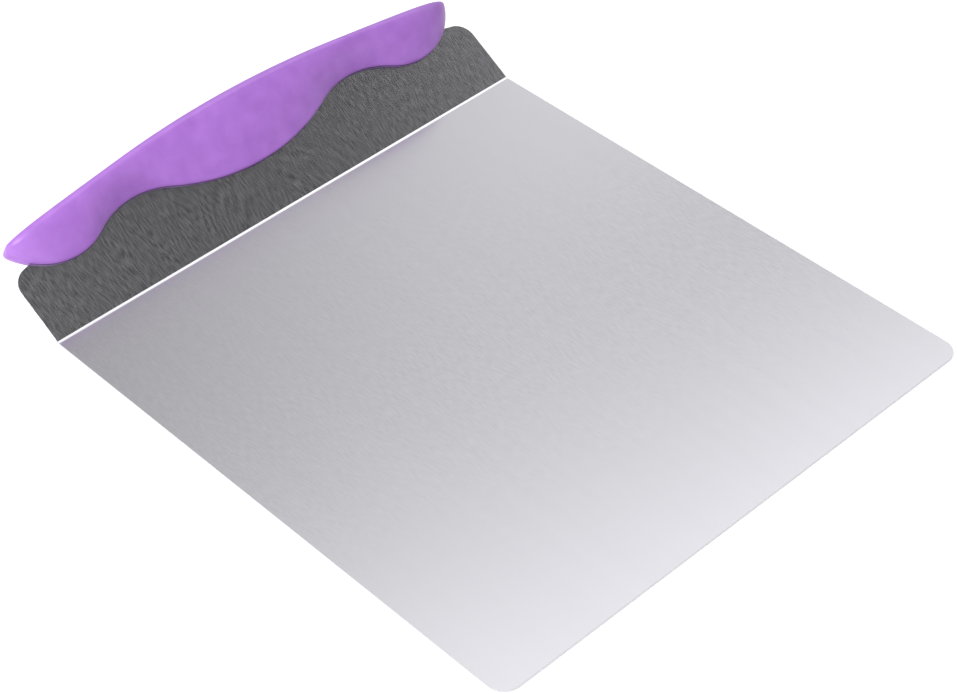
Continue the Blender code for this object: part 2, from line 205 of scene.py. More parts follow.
# %% Brushed steel
def brushed_stainless_steel():
    made = bpy.data.materials.new("brushed stainless steel")
    made.use_nodes = True
    tree = made.node_tree
    shader = tree.nodes["Principled BSDF"]
    shader.inputs["Metallic"].default_value = 1.0
    shader.inputs["Anisotropic"].default_value = 0.8

    flat_sheet = add(tree, "ShaderNodeUVMap", uv_map="grain")
    across_the_grain = add(tree, "ShaderNodeTangent", direction_type="UV_MAP", uv_map="grain")
    tree.links.new(across_the_grain.outputs[0], shader.inputs["Tangent"])

    layers = []
    for lean in (math.radians(2), math.radians(-3)):
        scratches_per_metre = (1700.0, 230.0, 1.0)
        turned = add(tree, "ShaderNodeMapping", {"Vector": flat_sheet, "Rotation": (0, 0, lean)})
        drawn = add(tree, "ShaderNodeMapping", {"Vector": turned, "Scale": scratches_per_metre})
        noise = add(tree, "ShaderNodeTexNoise", {"Vector": drawn, "Scale": 1.0, "Detail": 1.0})
        layers.append(noise.outputs["Fac"])
    scratches = add(tree, "ShaderNodeMath", {0: layers[0], 1: layers[1]}, operation="ADD")
    bands_per_metre = (150.0, 5.0, 1.0)
    bands_at = add(tree, "ShaderNodeMapping", {"Vector": flat_sheet, "Scale": bands_per_metre})
    bands = add(tree, "ShaderNodeTexNoise", {"Vector": bands_at, "Scale": 1.0, "Detail": 2.0})

    uneven = add(tree, "ShaderNodeMath", {0: scratches, 1: bands.outputs["Fac"]}, operation="ADD")
    share = add(tree, "ShaderNodeMapRange", {"Value": uneven, "From Min": 1.2, "From Max": 1.8})
    colour = add(
        tree,
        "ShaderNodeMix",
        {"Factor": share, "A": linear("#c6c5ca"), "B": linear("#c8c7cc")},
        data_type="RGBA",
    )
    tree.links.new(colour.outputs["Result"], shader.inputs["Base Color"])
    gloss = {"From Min": 0.75, "From Max": 1.25, "To Min": 0.182, "To Max": 0.228}
    roughness = add(tree, "ShaderNodeMapRange", {"Value": scratches, **gloss})
    tree.links.new(roughness.outputs[0], shader.inputs["Roughness"])
    groove = {"Height": scratches, "Strength": 0.0075, "Distance": 0.0001}
    scratched = add(tree, "ShaderNodeBump", groove)
    tree.links.new(scratched.outputs[0], shader.inputs["Normal"])
    return made


steel = brushed_stainless_steel()
print(f"{steel.name}: {len(steel.node_tree.nodes)} nodes")

# %% [markdown]
# ## Material: violet moulded plastic
#
# The grip is injection moulded, most likely in polypropylene or ABS, coloured right through. The
# tool was spark eroded to a fine satin, so the surface has grains of about 0.4 mm that blur every
# highlight. Slow waves of about 2 cm are where the plastic shrank a little more over the ribs,
# and faint clouds of about 8 mm are where the pigment was not mixed quite evenly.


# %% Violet plastic
def violet_moulded_plastic():
    made = bpy.data.materials.new("violet moulded plastic")
    made.use_nodes = True
    tree = made.node_tree
    shader = tree.nodes["Principled BSDF"]
    shader.inputs["IOR"].default_value = 1.5

    place = add(tree, "ShaderNodeTexCoord").outputs["Object"]
    grain = add(tree, "ShaderNodeTexNoise", {"Vector": place, "Scale": 2600.0, "Detail": 3.0})
    shrinkage = add(tree, "ShaderNodeTexNoise", {"Vector": place, "Scale": 45.0, "Detail": 3.0})
    clouds = add(tree, "ShaderNodeTexNoise", {"Vector": place, "Scale": 120.0, "Detail": 3.0})
    spread = {"From Min": 0.3, "From Max": 0.7}
    cloudy = add(tree, "ShaderNodeMapRange", {"Value": clouds.outputs["Fac"], **spread})
    pigment = add(
        tree,
        "ShaderNodeMix",
        {"Factor": cloudy, "A": linear("#9a65bd"), "B": linear("#a570c8")},
        data_type="RGBA",
    )
    tree.links.new(pigment.outputs["Result"], shader.inputs["Base Color"])
    gloss = {"From Min": 0.3, "From Max": 0.7, "To Min": 0.30, "To Max": 0.40}
    satin = add(tree, "ShaderNodeMapRange", {"Value": grain.outputs["Fac"], **gloss})
    tree.links.new(satin.outputs[0], shader.inputs["Roughness"])
    waves = add(
        tree,
        "ShaderNodeBump",
        {"Height": shrinkage.outputs["Fac"], "Strength": 0.15, "Distance": 0.0006},
    )
    eroded = add(
        tree,
        "ShaderNodeBump",
        {"Height": grain.outputs["Fac"], "Strength": 0.25, "Distance": 0.00005, "Normal": waves},
    )
    tree.links.new(eroded.outputs[0], shader.inputs["Normal"])
    return made


violet = violet_moulded_plastic()
print(f"{violet.name}: {len(violet.node_tree.nodes)} nodes")

# %% [markdown]
# ## Material: zinc-plated screw steel
#
# Small self-tapping screws are cold formed and then tumbled in a zinc bath. The plating is thin
# and bright, a little bluish, with soft yellowish patches from the passivation and a dull tumbled
# skin.


# %% Zinc-plated steel
def zinc_plated_steel():
    made = bpy.data.materials.new("zinc-plated screw steel")
    made.use_nodes = True
    tree = made.node_tree
    shader = tree.nodes["Principled BSDF"]
    shader.inputs["Metallic"].default_value = 1.0

    place = add(tree, "ShaderNodeTexCoord").outputs["Object"]
    patches = add(tree, "ShaderNodeTexNoise", {"Vector": place, "Scale": 700.0, "Detail": 2.0})
    tumbled = add(tree, "ShaderNodeTexNoise", {"Vector": place, "Scale": 5000.0, "Detail": 2.0})
    plating = add(
        tree,
        "ShaderNodeMix",
        {"Factor": patches.outputs["Fac"], "A": linear("#bcc2cc"), "B": linear("#cfcabb")},
        data_type="RGBA",
    )
    tree.links.new(plating.outputs["Result"], shader.inputs["Base Color"])
    gloss = {"From Min": 0.3, "From Max": 0.7, "To Min": 0.25, "To Max": 0.45}
    dullness = add(tree, "ShaderNodeMapRange", {"Value": tumbled.outputs["Fac"], **gloss})
    tree.links.new(dullness.outputs[0], shader.inputs["Roughness"])
    return made


zinc = zinc_plated_steel()
print(f"{zinc.name}: {len(zinc.node_tree.nodes)} nodes")

# %% [markdown]
# ## Where the screws go
#
# Five screws hold the grip. They stand in a row that follows the flange's arched top edge, one in
# each end lobe and three in the middle. Their places are the points of a small helper mesh,
# because the trees for the plate, the grip and the screws all put something at each of them.

# %% The grip's outline and the screws' places
LOBE_BOTTOM = 0.0238
HANDLE_TOP = LOBE_BOTTOM + 0.0327
TOP_RADIUS = 0.520
TOP_CENTRE = HANDLE_TOP - TOP_RADIUS
FLANK_SLOPE = math.asin(0.060 / TOP_RADIUS)
LOBE_RADIUS = 0.0977
NOTCH_RADIUS = 0.0405
NOTCH_PLACE = 0.0605
END_LOBE_RADIUS = 0.0298
NOTCH_TO_END_LOBE = 0.0363
END_LOBE_PLACE = NOTCH_PLACE + NOTCH_TO_END_LOBE
TIP_RADIUS = 0.0026

FLANGE_ARCH = 0.560
FLANGE_CORNER = 0.0087
ARCH_CENTRE = HANDLE_TOP - 0.0094 - FLANGE_ARCH
INNER_SCREW_PLACE = 0.036
SCREW_ROW_RADIUS = FLANGE_ARCH - 0.0045


def screw_places():
    across = (-END_LOBE_PLACE, -INNER_SCREW_PLACE, 0.0, INNER_SCREW_PLACE, END_LOBE_PLACE)
    return [(x, ARCH_CENTRE + math.sqrt(SCREW_ROW_RADIUS**2 - x**2)) for x in across]


def screw_row():
    bm = bmesh.new()
    for x, v in screw_places():
        bm.verts.new((x, v, 0.0))
    return mesh_object("screw_row", bm)


row_of_screws = screw_row()
print("screws at", [(round(x, 4), round(v, 4)) for x, v in screw_places()])

# %% [markdown]
# ## The flat blank
#
# The maker cuts the plate flat: a rectangle with two rounded front corners, and behind the bend
# line the flange with its arched top edge. The blank could be made from a rounded rectangle and a
# Boolean, but the outline as one ring of points gives clean arcs. It is divided across the bend
# line only, because nowhere else does it need to bend. A narrow strip before and after the bend
# keeps the smooth shading of the bend off the flat faces.


# %% The blank
def flange_outline(grow, corner_steps, arch_steps):
    """The flange's outline, from its right side over the arched top edge to its left side."""
    corner_x = PLATE_WIDTH / 2 - FLANGE_CORNER
    corner_v = ARCH_CENTRE + math.sqrt((FLANGE_ARCH - FLANGE_CORNER) ** 2 - corner_x**2)
    lean = math.atan2(corner_x, corner_v - ARCH_CENTRE)
    upright = math.pi / 2
    corner = FLANGE_CORNER + grow
    right = arc((corner_x, corner_v), corner, 0.0, upright - lean, corner_steps)
    top = arc((0.0, ARCH_CENTRE), FLANGE_ARCH + grow, upright - lean, upright + lean, arch_steps)
    left = arc((-corner_x, corner_v), corner, upright + lean, math.pi, corner_steps)
    return right + top[1:-1] + left


def flat_blank():
    FRONT_CORNER = 0.008
    corner_x, corner_y = PLATE_WIDTH / 2 - FRONT_CORNER, FRONT_CORNER - BLADE_LENGTH
    left = arc((-corner_x, corner_y), FRONT_CORNER, math.pi, 1.5 * math.pi, 24)
    right = arc((corner_x, corner_y), FRONT_CORNER, -0.5 * math.pi, 0.0, 24)
    bm = bmesh.new()
    raise_face(bm, left + right + flange_outline(0.0, 24, 96), -SHEET, 0.0)
    half_bend = BEND_RADIUS * math.tan(BEND_ANGLE / 2)
    lines = [half_bend * (step / 8 - 1) for step in range(17)]
    for line in [-half_bend - SHEET] + lines + [half_bend + SHEET]:
        everything = bm.verts[:] + bm.edges[:] + bm.faces[:]
        bmesh.ops.bisect_plane(bm, geom=everything, plane_co=(0, line, 0), plane_no=(0, 1, 0))
    return mesh_object("flat_blank", bm)


# %% [markdown]
# ## Punching and bending the plate
#
# The shape follows a rule, so Geometry Nodes make it, as the maker does: first the holes are
# punched through the flat blank, then the flat coordinates are kept as the UV map for the grain,
# and last each point goes round the bend. A point's way along the blank is split into the part
# before the bend, the share of the bend that it has gone round, and the part after it. So one
# rule serves the whole sheet.


# %% The bending tree
PUNCH_LENGTH = 8 * SHEET
SCREW_HOLE = 0.00145 + GAP


def punch_and_bend(surface):
    tree, given, result = new_tree(
        "punch and bend",
        Holes="Object",
        Hole_Radius="Float",
        Bend_Angle="Float",
        Inner_Radius="Float",
    )
    value = given.outputs

    def sums(operation, first, second=0.0):
        return add(tree, "ShaderNodeMath", {0: first, 1: second}, operation=operation)

    hole_points = add(tree, "GeometryNodeObjectInfo", {"Object": value["Holes"]})
    punch = add(
        tree,
        "GeometryNodeMeshCylinder",
        {"Vertices": 40, "Radius": value["Hole Radius"], "Depth": PUNCH_LENGTH},
    )
    punches = add(
        tree,
        "GeometryNodeInstanceOnPoints",
        {"Points": hole_points.outputs["Geometry"], "Instance": punch},
    )
    solid_punches = add(tree, "GeometryNodeRealizeInstances", {"Geometry": punches})
    punched = add(tree, "GeometryNodeMeshBoolean", {"Mesh 1": value["Geometry"]}, solver="EXACT")
    tree.links.new(solid_punches.outputs[0], punched.inputs["Mesh 2"])

    flat_place = add(tree, "GeometryNodeInputPosition")
    grain_kept = add(
        tree,
        "GeometryNodeStoreNamedAttribute",
        {"Geometry": punched, "Name": "grain", "Value": flat_place},
        data_type="FLOAT2",
        domain="CORNER",
    )

    flat = add(tree, "ShaderNodeSeparateXYZ", {"Vector": flat_place})
    across, along, above = flat.outputs
    half_angle = sums("MULTIPLY", value["Bend Angle"], 0.5)
    half_bend = sums("MULTIPLY", value["Inner Radius"], sums("TANGENT", half_angle))
    before = sums("MINIMUM", sums("ADD", along, half_bend), 0.0)
    after = sums("MAXIMUM", sums("SUBTRACT", along, half_bend), 0.0)
    gone_round = sums("DIVIDE", sums("ADD", along, half_bend), sums("MULTIPLY", half_bend, 2.0))
    share = add(tree, "ShaderNodeClamp", {"Value": gone_round})
    turn = sums("MULTIPLY", value["Bend Angle"], share)
    radius = sums("SUBTRACT", value["Inner Radius"], above)
    round_y = sums("MULTIPLY", radius, sums("SINE", turn))
    round_z = sums("MULTIPLY", radius, sums("COSINE", turn))
    after_y = sums("MULTIPLY", after, sums("COSINE", value["Bend Angle"]))
    after_z = sums("MULTIPLY", after, sums("SINE", value["Bend Angle"]))
    y = sums("SUBTRACT", sums("ADD", before, sums("ADD", round_y, after_y)), half_bend)
    z = sums("ADD", sums("SUBTRACT", value["Inner Radius"], round_z), after_z)
    place = add(tree, "ShaderNodeCombineXYZ", {"X": across, "Y": y, "Z": z})
    bent = add(tree, "GeometryNodeSetPosition", {"Geometry": grain_kept, "Position": place})
    in_place = add(
        tree,
        "GeometryNodeTransform",
        {"Geometry": bent, "Translation": bend_frame.translation},
    )
    whole = add(tree, "GeometryNodeRealizeInstances", {"Geometry": in_place})
    coloured = add(tree, "GeometryNodeSetMaterial", {"Geometry": whole, "Material": surface})
    tree.links.new(coloured.outputs[0], result.inputs[0])
    return tree


# %% [markdown]
# The punched edge of a real sheet is rubbed down a little, so that it doesn't cut. A Bevel
# modifier after the tree breaks the edges by 0.1 mm.


# %% The plate
def bent_plate():
    thing = flat_blank()
    run_tree(
        thing,
        punch_and_bend(steel),
        Holes=row_of_screws,
        Hole_Radius=SCREW_HOLE,
        Bend_Angle=BEND_ANGLE,
        Inner_Radius=BEND_RADIUS,
    )
    rubbed = thing.modifiers.new("rubbed edges", "BEVEL")
    rubbed.width = 0.0001
    rubbed.segments = 2
    rubbed.limit_method = "ANGLE"
    rubbed.angle_limit = math.radians(50)
    return plain_mesh("brushed_plate", thing, 12)


plate = bent_plate()
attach(plate, "root")
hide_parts("lifting_plate")

# %% [markdown]
# ## The grip's outline
#
# Seen square to the flange, the grip has a long arched top edge, and a lower edge of three lobes
# with a finger notch on each side of the middle one. Every stretch is an arc that touches its
# neighbours, as a toolmaker draws it. So the outline can be asked for its height at any x.


# %% The outline's circles
def flank_line(x):
    """The straight flank that the top edge's arc runs out into, at x to the right of the middle."""
    start = TOP_RADIUS * math.sin(FLANK_SLOPE)
    return TOP_CENTRE + TOP_RADIUS * math.cos(FLANK_SLOPE) - (x - start) * math.tan(FLANK_SLOPE)


def outline_circles():
    """The circles of the outline as (x, v, radius). Each one touches the next."""
    lobe_v = LOBE_BOTTOM + LOBE_RADIUS
    notch_v = lobe_v - math.sqrt((LOBE_RADIUS + NOTCH_RADIUS) ** 2 - NOTCH_PLACE**2)
    end_v = notch_v + math.sqrt((NOTCH_RADIUS + END_LOBE_RADIUS) ** 2 - NOTCH_TO_END_LOBE**2)
    sine, cosine = math.sin(FLANK_SLOPE), math.cos(FLANK_SLOPE)
    below = (end_v - flank_line(END_LOBE_PLACE)) * cosine + TIP_RADIUS
    along = math.sqrt((END_LOBE_RADIUS - TIP_RADIUS) ** 2 - below**2)
    tip_x = END_LOBE_PLACE - below * sine + along * cosine
    tip_v = end_v - below * cosine - along * sine
    lobe = (0.0, lobe_v, LOBE_RADIUS)
    notch = (NOTCH_PLACE, notch_v, NOTCH_RADIUS)
    end_lobe = (END_LOBE_PLACE, end_v, END_LOBE_RADIUS)
    return lobe, notch, end_lobe, (tip_x, tip_v, TIP_RADIUS)


LOBE, NOTCH, END_LOBE, TIP = outline_circles()
HANDLE_HALF = TIP[0] + TIP[2]
print(f"the grip is {2000 * HANDLE_HALF:.1f} mm long")


def on_circle(circle, x, inset, side):
    """The height of a circle, moved inwards by inset, at x: its upper half for side +1."""
    centre_x, centre_v, radius = circle
    moved = radius + inset if circle is NOTCH else radius - inset
    return centre_v + side * math.sqrt(max(moved**2 - (x - centre_x) ** 2, 0.0))


def lower_edge(x, inset=0.0):
    """The wavy lower edge's height above the bend, the same on both sides of the middle."""
    x = abs(x)
    lobe, notch = LOBE[2] - inset, NOTCH[2] + inset
    end_lobe, tip = END_LOBE[2] - inset, TIP[2] - inset
    if x <= NOTCH_PLACE * lobe / (lobe + notch):
        return on_circle(LOBE, x, inset, -1)
    if x <= NOTCH_PLACE + NOTCH_TO_END_LOBE * notch / (notch + end_lobe):
        return on_circle(NOTCH, x, inset, 1)
    if x <= END_LOBE[0] + (TIP[0] - END_LOBE[0]) * end_lobe / (end_lobe - tip):
        return on_circle(END_LOBE, x, inset, -1)
    return on_circle(TIP, x, inset, -1)


def upper_edge(x, inset=0.0):
    """The top edge's height above the bend: an arc, a straight flank and a rounded end."""
    x = abs(x)
    if x <= (TOP_RADIUS - inset) * math.sin(FLANK_SLOPE):
        return TOP_CENTRE + math.sqrt((TOP_RADIUS - inset) ** 2 - x**2)
    if x <= TIP[0] + (TIP[2] - inset) * math.sin(FLANK_SLOPE):
        return flank_line(x) - inset / math.cos(FLANK_SLOPE)
    return on_circle(TIP, x, inset, 1)


# %% [markdown]
# ## The grip's face
#
# Each half stands 12.5 mm out from the sheet. It rises steeply from a thin lip at the lower edge,
# flattens towards the top, and turns over a 4 mm shoulder into the top edge. Towards the tips it
# thins out. All of it is one height rule, n over x and v, and it serves both halves.

# %% The face's height
GRIP_DEPTH = 0.0125
TIP_DEPTH = 0.0030
TIP_SQUARENESS = 12.0
LIP = 0.0015
LIP_ROUND = 0.0008
SHOULDER = 0.0040
CROWN = 1.8


def depth(x):
    """How far a half stands out at x, seen from above: nearly even, and rounded off at the tips."""
    share = min(abs(x) / HANDLE_HALF, 1.0)
    return TIP_DEPTH + (GRIP_DEPTH - TIP_DEPTH) * math.sqrt(1 - share**TIP_SQUARENESS)


def edge_distance(x, v):
    """The distance from the grip's top edge and rounded ends, inwards.

    Beyond the tip's middle it is stretched sideways, so that the shoulder fits the tip's circle.
    """
    x = abs(x)
    from_top = (flank_line(x) - v) * math.cos(FLANK_SLOPE)
    if math.atan2(x, v - TOP_CENTRE) < FLANK_SLOPE:
        from_top = TOP_RADIUS - math.hypot(x, v - TOP_CENTRE)
    if x > TIP[0]:
        away = math.hypot(x - TIP[0], max(v - TIP[1], 0.0))
        stretch = 1 + (SHOULDER / TIP[2] - 1) * ((x - TIP[0]) / away) ** 2
        from_top = min(from_top, (TIP[2] - away) * stretch)
    return max(from_top, 0.0)


def quarter_drop(radius, distance):
    """How far a rounded edge has fallen at a distance inside it."""
    into = min(max(radius - distance, 0.0), radius)
    return radius - math.sqrt(radius**2 - into**2)


def face_height(x, v):
    """How far the face stands out from the sheet."""
    low, high = lower_edge(x), upper_edge(x)
    rise = depth(x) - LIP
    share = min(max((v - low) / (high - low), 0.0), 1.0)
    crown = 1 - (1 - share) ** CROWN
    shoulder = min(SHOULDER, rise)
    return LIP + crown * (rise - quarter_drop(shoulder, edge_distance(x, v)))


for across in (0.0, NOTCH_PLACE, END_LOBE_PLACE):
    height = face_height(across, upper_edge(across) - SHOULDER)
    print(f"{1000 * across:.1f} mm from the middle the face stands out {1000 * height:.1f} mm")

# %% [markdown]
# ## Sections to a closed dome
#
# A half is a row of sections from tip to tip, each a closed ring of points: round the parting
# edge, over the lip's small round, up the face, over the shoulder, and back round the parting
# edge. Sections lie closer together towards the tips, where the outline turns fastest. The same
# function makes the hollow, set in by a wall, with plain edges.

# %% A half's dome
PARTING_ROUND = 0.0003
WALL = 0.0022
LAST_STATION = 0.99  # short of the tip itself, where a section would shrink to a point


def quarter(steps):
    return [math.pi / 2 * step / steps for step in range(steps + 1)]


def outer_section(x, floor):
    """The (v, n) points of a half's outer form at x."""
    low, high = lower_edge(x), upper_edge(x)
    small = min(PARTING_ROUND, (high - low) / 6)
    lip = min(LIP_ROUND, (high - low) / 6)
    shoulder = min(SHOULDER, (high - low) / 2)
    points = [
        (low + small * (1 - math.sin(a)), floor + small * (1 - math.cos(a))) for a in quarter(3)
    ]
    lip_rows = [low + lip * (1 - math.cos(a)) for a in quarter(6)]
    face_rows = [lip_rows[-1] + (high - shoulder - lip_rows[-1]) * row / 20 for row in range(1, 20)]
    shoulder_rows = [high - shoulder * (1 - math.sin(a)) for a in quarter(12)]
    for v in lip_rows + face_rows + shoulder_rows:
        points.append((v, face_height(x, v) - quarter_drop(lip, v - low)))
    points += [
        (high - small * (1 - math.cos(a)), floor + small * (1 - math.sin(a))) for a in quarter(3)
    ]
    return points


def hollow_section(x, floor):
    """The (v, n) points of the hollow inside a half at x."""
    low, high = lower_edge(x, WALL), upper_edge(x, WALL)
    shoulder = min(SHOULDER, (high - low) / 2)
    rows = [low + (high - shoulder - low) * row / 8 for row in range(8)]
    rows += [high - shoulder * (1 - math.sin(a)) for a in quarter(6)]
    skin = [(v, face_height(x, v) - WALL) for v in rows]
    return [(rows[0], floor)] + skin + [(rows[-1], floor)]


def dome(name, side, stations, section, half, floor):
    """A closed dome of sections, in the flange's frame."""
    face = 0.0 if side > 0 else -SHEET
    bm = bmesh.new()
    rings = []
    for station in range(stations + 1):
        x = half * math.sin(math.pi / 2 * LAST_STATION * (2 * station / stations - 1))
        ring = [bm.verts.new((x, v, face + side * n)) for v, n in section(x, floor)]
        rings.append(ring)
    for first, second in zip(rings, rings[1:]):
        for row in range(len(first)):
            after = (row + 1) % len(first)
            bm.faces.new((first[row], first[after], second[after], second[row]))
    bm.faces.new(rings[0])
    bm.faces.new(rings[-1])
    return mesh_object(name, bm)


print(f"the middle section has {len(outer_section(0.0, GAP))} points")


# %% [markdown]
# ## Moulding a half
#
# A moulded half is a shell with a 2.2 mm wall, four cross ribs, and a boss round each screw. One
# tree makes both halves: it takes the outer form, keeps ribs and bosses out of the hollow, and
# then takes away the hollow, the screw holes and the bores for the heads. The back half also has
# a shallow step for the sheet. The holes follow the screws, so each is an instance on the row of
# screws.


# %% The moulding tree
RIB = 0.0015
RIB_PLACES = (-NOTCH_PLACE, -INNER_SCREW_PLACE / 2, INNER_SCREW_PLACE / 2, NOTCH_PLACE)
RIB_LENGTH = 0.1
THROUGH = 4 * GRIP_DEPTH
FACET_TURN = 0.01  # radians, so that no facet of a round cutter lies in a rib's plane


def moulding(surface):
    tree, given, result = new_tree(
        "mould a half",
        Hollow="Object",
        Sheet_Step="Object",
        Screws="Object",
        Boss_Radius="Float",
        Hole_Radius="Float",
        Hole_Middle="Float",
        Hole_Depth="Float",
        Bore_Radius="Float",
        Bore_Middle="Float",
        Bore_Depth="Float",
    )
    value = given.outputs
    points = add(tree, "GeometryNodeObjectInfo", {"Object": value["Screws"]}).outputs["Geometry"]

    def at_screws(radius, middle, height):
        """A cylinder at each screw, its middle at a height over the sheet."""
        lifted = add(tree, "ShaderNodeCombineXYZ", {"Z": middle})
        placed = add(tree, "GeometryNodeSetPosition", {"Geometry": points, "Offset": lifted})
        rod = add(
            tree,
            "GeometryNodeMeshCylinder",
            {"Vertices": 48, "Radius": radius, "Depth": height},
        )
        rods = add(tree, "GeometryNodeInstanceOnPoints", {"Points": placed, "Instance": rod})
        turn = {"Instances": rods, "Rotation": (0, 0, FACET_TURN)}
        turned = add(tree, "GeometryNodeRotateInstances", turn)
        return add(tree, "GeometryNodeRealizeInstances", {"Geometry": turned})

    def cut(shape, *cutters):
        for cutter in cutters:
            shape = add(tree, "GeometryNodeMeshBoolean", {"Mesh 1": shape}, solver="EXACT")
            taken = cutter.outputs[0] if isinstance(cutter, bpy.types.Node) else cutter
            tree.links.new(taken, shape.inputs[1])
        return shape

    hollow = add(tree, "GeometryNodeObjectInfo", {"Object": value["Hollow"]}).outputs["Geometry"]
    bosses = at_screws(value["Boss Radius"], 0.0, THROUGH)
    ribs = []
    for x in RIB_PLACES:
        slab = add(tree, "GeometryNodeMeshCube", {"Size": (RIB, RIB_LENGTH, THROUGH)})
        stand = {"Geometry": slab, "Translation": (x, HANDLE_TOP, 0)}
        ribs.append(add(tree, "GeometryNodeTransform", stand))
    step = add(tree, "GeometryNodeObjectInfo", {"Object": value["Sheet Step"]}).outputs["Geometry"]
    holes = at_screws(value["Hole Radius"], value["Hole Middle"], value["Hole Depth"])
    bores = at_screws(value["Bore Radius"], value["Bore Middle"], value["Bore Depth"])
    shell = cut(value["Geometry"], cut(hollow, bosses, *ribs), step, holes, bores)
    tilted = add(
        tree,
        "GeometryNodeTransform",
        {
            "Geometry": shell,
            "Translation": flange_frame.translation,
            "Rotation": flange_frame.to_euler(),
        },
    )
    whole = add(tree, "GeometryNodeRealizeInstances", {"Geometry": tilted})
    coloured = add(tree, "GeometryNodeSetMaterial", {"Geometry": whole, "Material": surface})
    tree.links.new(coloured.outputs[0], result.inputs[0])
    return tree


mould = moulding(violet)
print(f"{mould.name}: {len(mould.nodes)} nodes")

# %% [markdown]
# The back half is as deep as the front one. It wraps round the sheet's edge by a thin step, so
# that the halves meet in one parting line 0.3 mm wide.

# %% Both halves
BORE_RADIUS = 0.0028 + GAP
SEAT = -(SHEET + GAP + 0.0026)
SCREW_LENGTH = 0.0080
SCREW_TIP = SEAT - GAP + SCREW_LENGTH
PAST = 0.0020  # how far a cutter reaches past what it cuts
BOSS_WALL = 0.0015


def sheet_step():
    bm = bmesh.new()
    side = PLATE_WIDTH / 2 + GAP
    outline = [(-side, 0.0), (side, 0.0)] + flange_outline(GAP, 16, 48)
    raise_face(bm, outline, -SHEET - GAP, PAST)
    return mesh_object("sheet_step", bm)


def moulded_half(name, side):
    floor = GAP if side > 0 else 0.0 - SHEET
    outer = dome(name + "_form", side, 240, outer_section, HANDLE_HALF, floor)
    hollow = dome("hollow", side, 64, hollow_section, HANDLE_HALF - WALL, -PAST)
    step = mesh_object("no_step", bmesh.new()) if side > 0 else sheet_step()
    low, high = (-PAST, SCREW_TIP + GAP) if side > 0 else (SEAT - PAST, PAST)
    outside = -(SHEET + GRIP_DEPTH + PAST)
    run_tree(
        outer,
        mould,
        Hollow=hollow,
        Sheet_Step=step,
        Screws=row_of_screws,
        Boss_Radius=(SCREW_HOLE if side > 0 else BORE_RADIUS) + BOSS_WALL,
        Hole_Radius=SCREW_HOLE,
        Hole_Middle=(low + high) / 2,
        Hole_Depth=high - low,
        Bore_Radius=SCREW_HOLE if side > 0 else BORE_RADIUS,
        Bore_Middle=(low + high) / 2 if side > 0 else (outside + SEAT) / 2,
        Bore_Depth=high - low if side > 0 else SEAT - outside,
    )
    made = plain_mesh(name, outer, 38)
    for helper in (hollow, step):
        bpy.data.objects.remove(helper)
    return made


for name, side, node in (("grip_front", 1, "handle_front"), ("grip_back", -1, "handle_back")):
    half = moulded_half(name, side)
    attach(half, "root")
    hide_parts(node)

# %% [markdown]
# ## One screw
#
# The screws are 2.9 mm self-tapping screws with a pan head and a cross recess. A screw is turned
# about its axis, all but the thread, which winds up it. So the body is a grid of points round and
# down the axis, whose radius follows the turn: that gives a true spiral thread and a point at the
# end.

# %% The screw's body
THREAD_RADIUS = 0.00145
THREAD_ROOT = 0.00105
THREAD_PITCH = 0.0011
HEAD_RADIUS = 0.0028
HEAD_HEIGHT = 0.0020
HEAD_RIM = 0.35
POINT_LENGTH = 0.0015


def shank_radius(turn, down):
    """The shank's radius at a share of a turn and a distance under the head."""
    phase = (down / THREAD_PITCH - turn) % 1.0
    ridge = max(0.0, 1 - abs(phase - 0.5) / 0.3)
    fade = min(1.0, down / THREAD_PITCH)
    to_point = min(1.0, (SCREW_LENGTH - down) / POINT_LENGTH)
    return (THREAD_ROOT + (THREAD_RADIUS - THREAD_ROOT) * ridge * fade) * max(to_point, 0.0)


def screw_body():
    around, down_steps = 32, 80
    domed = 1 - HEAD_RIM
    rim = [
        (HEAD_RADIUS * math.cos(a), HEAD_HEIGHT * (HEAD_RIM + domed * math.sin(a)))
        for a in quarter(8)
    ]
    rows = [lambda turn, at=point: at for point in reversed(rim[:-1])]
    rows.append(lambda turn: (HEAD_RADIUS, 0.0))
    for step in range(down_steps):
        down = SCREW_LENGTH * step / down_steps
        rows.append(lambda turn, down=down: (shank_radius(turn, down), -down))
    bm = bmesh.new()
    top = bm.verts.new((0, 0, HEAD_HEIGHT))
    bottom = bm.verts.new((0, 0, -SCREW_LENGTH))
    rings = []
    for row in rows:
        ring = []
        for step in range(around):
            radius, height = row(step / around)
            angle = 2 * math.pi * step / around
            ring.append(bm.verts.new((radius * math.cos(angle), radius * math.sin(angle), height)))
        rings.append(ring)
    for step in range(around):
        after = (step + 1) % around
        bm.faces.new((top, rings[0][step], rings[0][after]))
        bm.faces.new((bottom, rings[-1][after], rings[-1][step]))
        for first, second in zip(rings, rings[1:]):
            bm.faces.new((first[step], second[step], second[after], first[after]))
    return mesh_object("screw_body", bm)


print(f"the thread winds {SCREW_LENGTH / THREAD_PITCH:.1f} times round the shank")


# %% [markdown]
# ## Five screws from one
#
# The tree cuts the cross recess once, with two thin blocks, and puts the finished screw at each
# point of the row. A screw is driven from behind, so it is turned over and its head sits on the
# seat in the back half.


# %% The screws' tree
RECESS_WIDTH = 0.0006
RECESS_DEPTH = 0.0012
RECESS_REACH = 0.0015


